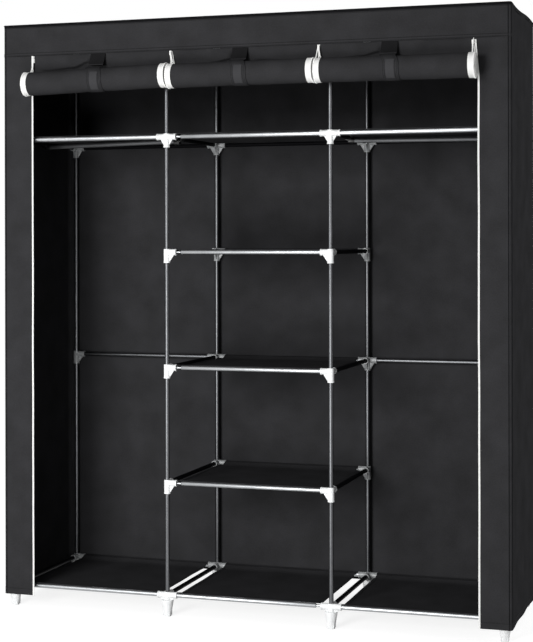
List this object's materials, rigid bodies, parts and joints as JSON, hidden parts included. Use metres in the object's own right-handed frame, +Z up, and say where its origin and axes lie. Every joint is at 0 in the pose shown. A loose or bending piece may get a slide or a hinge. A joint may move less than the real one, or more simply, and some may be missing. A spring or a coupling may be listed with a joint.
{
  "type": "portable fabric wardrobe",
  "caption": "Free-standing wardrobe: a frame of steel tubes and moulded connectors with cloth shelves, hanging rods and a zip-up cloth cover, its doors rolled up under the header.",
  "frame": {"origin": "on the floor, under the middle of the whole object's bounding box, rolled doors included", "axes": "+Z up; -Y to the open front with the rolled doors; +X to the right as seen from the front"},
  "size_m": [1.53, 0.5264, 1.75],
  "materials": {
    "black_cloth": "black non-woven cloth with a fine embossed grid",
    "steel_tube": "bright galvanised steel tube",
    "steel_rail": "bright galvanised steel tube with pale moulded connectors",
    "white_zip": "white woven zip tape with a nylon coil",
    "zip_slider": "small cast zip slider"
  },
  "bodies": {
    "frame": {"post_front_left": "steel_tube", "post_front_mid_left": "steel_tube", "post_front_mid_right": "steel_tube", "post_front_right": "steel_tube", "post_rear_left": "steel_tube", "post_rear_mid_left": "steel_tube", "post_rear_mid_right": "steel_tube", "post_rear_right": "steel_tube", "bottom_rails_front": "steel_rail", "low_shelf_rail_front": "steel_rail", "middle_shelf_rail_front": "steel_rail", "high_shelf_rail_front": "steel_rail", "upper_shelf_rails_front": "steel_rail", "bottom_rails_rear": "steel_rail", "low_shelf_rail_rear": "steel_rail", "middle_shelf_rail_rear": "steel_rail", "high_shelf_rail_rear": "steel_rail", "upper_shelf_rails_rear": "steel_rail", "bottom_depth_tube_left": "steel_tube", "bottom_depth_tube_mid_left": "steel_tube", "bottom_depth_tube_mid_right": "steel_tube", "bottom_depth_tube_right": "steel_tube", "low_shelf_depth_tube_mid_left": "steel_tube", "low_shelf_depth_tube_mid_right": "steel_tube", "middle_shelf_depth_tube_mid_left": "steel_tube", "middle_shelf_depth_tube_mid_right": "steel_tube", "high_shelf_depth_tube_mid_left": "steel_tube", "high_shelf_depth_tube_mid_right": "steel_tube", "upper_shelf_depth_tube_left": "steel_tube", "upper_shelf_depth_tube_mid_left": "steel_tube", "upper_shelf_depth_tube_mid_right": "steel_tube", "upper_shelf_depth_tube_right": "steel_tube", "top_frame": "steel_rail", "hanging_rod_left": "steel_tube", "hanging_rod_right": "steel_tube", "bottom_shelf_left": "black_cloth", "bottom_shelf_centre": "black_cloth", "bottom_shelf_right": "black_cloth", "upper_shelf_left": "black_cloth", "upper_shelf_centre": "black_cloth", "upper_shelf_right": "black_cloth", "centre_shelf_low": "black_cloth", "centre_shelf_middle": "black_cloth", "centre_shelf_high": "black_cloth", "cover_back": "black_cloth", "cover_side_left": "black_cloth", "cover_side_right": "black_cloth", "cover_top": "black_cloth", "zip_tape_left": "white_zip", "zip_tape_right": "white_zip", "door_drop_left": "black_cloth", "door_drop_centre": "black_cloth", "door_drop_right": "black_cloth"},
    "door_left": {"door_roll_left": "black_cloth"},
    "door_centre": {"door_roll_centre": "black_cloth"},
    "door_right": {"door_roll_right": "black_cloth"},
    "slider_1": {"zip_slider_1": "zip_slider"},
    "slider_2": {"zip_slider_2": "zip_slider"},
    "slider_3": {"zip_slider_3": "zip_slider"},
    "slider_4": {"zip_slider_4": "zip_slider"}
  },
  "joints": [
    {"name": "door_left_let_down", "type": "slide", "parent": "frame", "child": "door_left", "axis": [0, 0, -1], "range_m": [0, 1.5], "deforming": ["door_drop_left"]},
    {"name": "door_centre_let_down", "type": "slide", "parent": "frame", "child": "door_centre", "axis": [0, 0, -1], "range_m": [0, 1.5], "deforming": ["door_drop_centre"]},
    {"name": "door_right_let_down", "type": "slide", "parent": "frame", "child": "door_right", "axis": [0, 0, -1], "range_m": [0, 1.5], "deforming": ["door_drop_right"]},
    {"name": "slider_1_run", "type": "slide", "parent": "frame", "child": "slider_1", "axis": [0, 0, -1], "range_m": [0, 1.5]},
    {"name": "slider_2_run", "type": "slide", "parent": "frame", "child": "slider_2", "axis": [0, 0, -1], "range_m": [0, 1.5]},
    {"name": "slider_3_run", "type": "slide", "parent": "frame", "child": "slider_3", "axis": [0, 0, -1], "range_m": [0, 1.5]},
    {"name": "slider_4_run", "type": "slide", "parent": "frame", "child": "slider_4", "axis": [0, 0, -1], "range_m": [0, 1.5]}
  ],
  "couplings": [
    {"joint": "slider_1_run", "follows": "door_left_let_down", "ratio": 1},
    {"joint": "slider_2_run", "follows": "door_centre_let_down", "ratio": 1},
    {"joint": "slider_3_run", "follows": "door_centre_let_down", "ratio": 1},
    {"joint": "slider_4_run", "follows": "door_right_let_down", "ratio": 1}
  ]
}
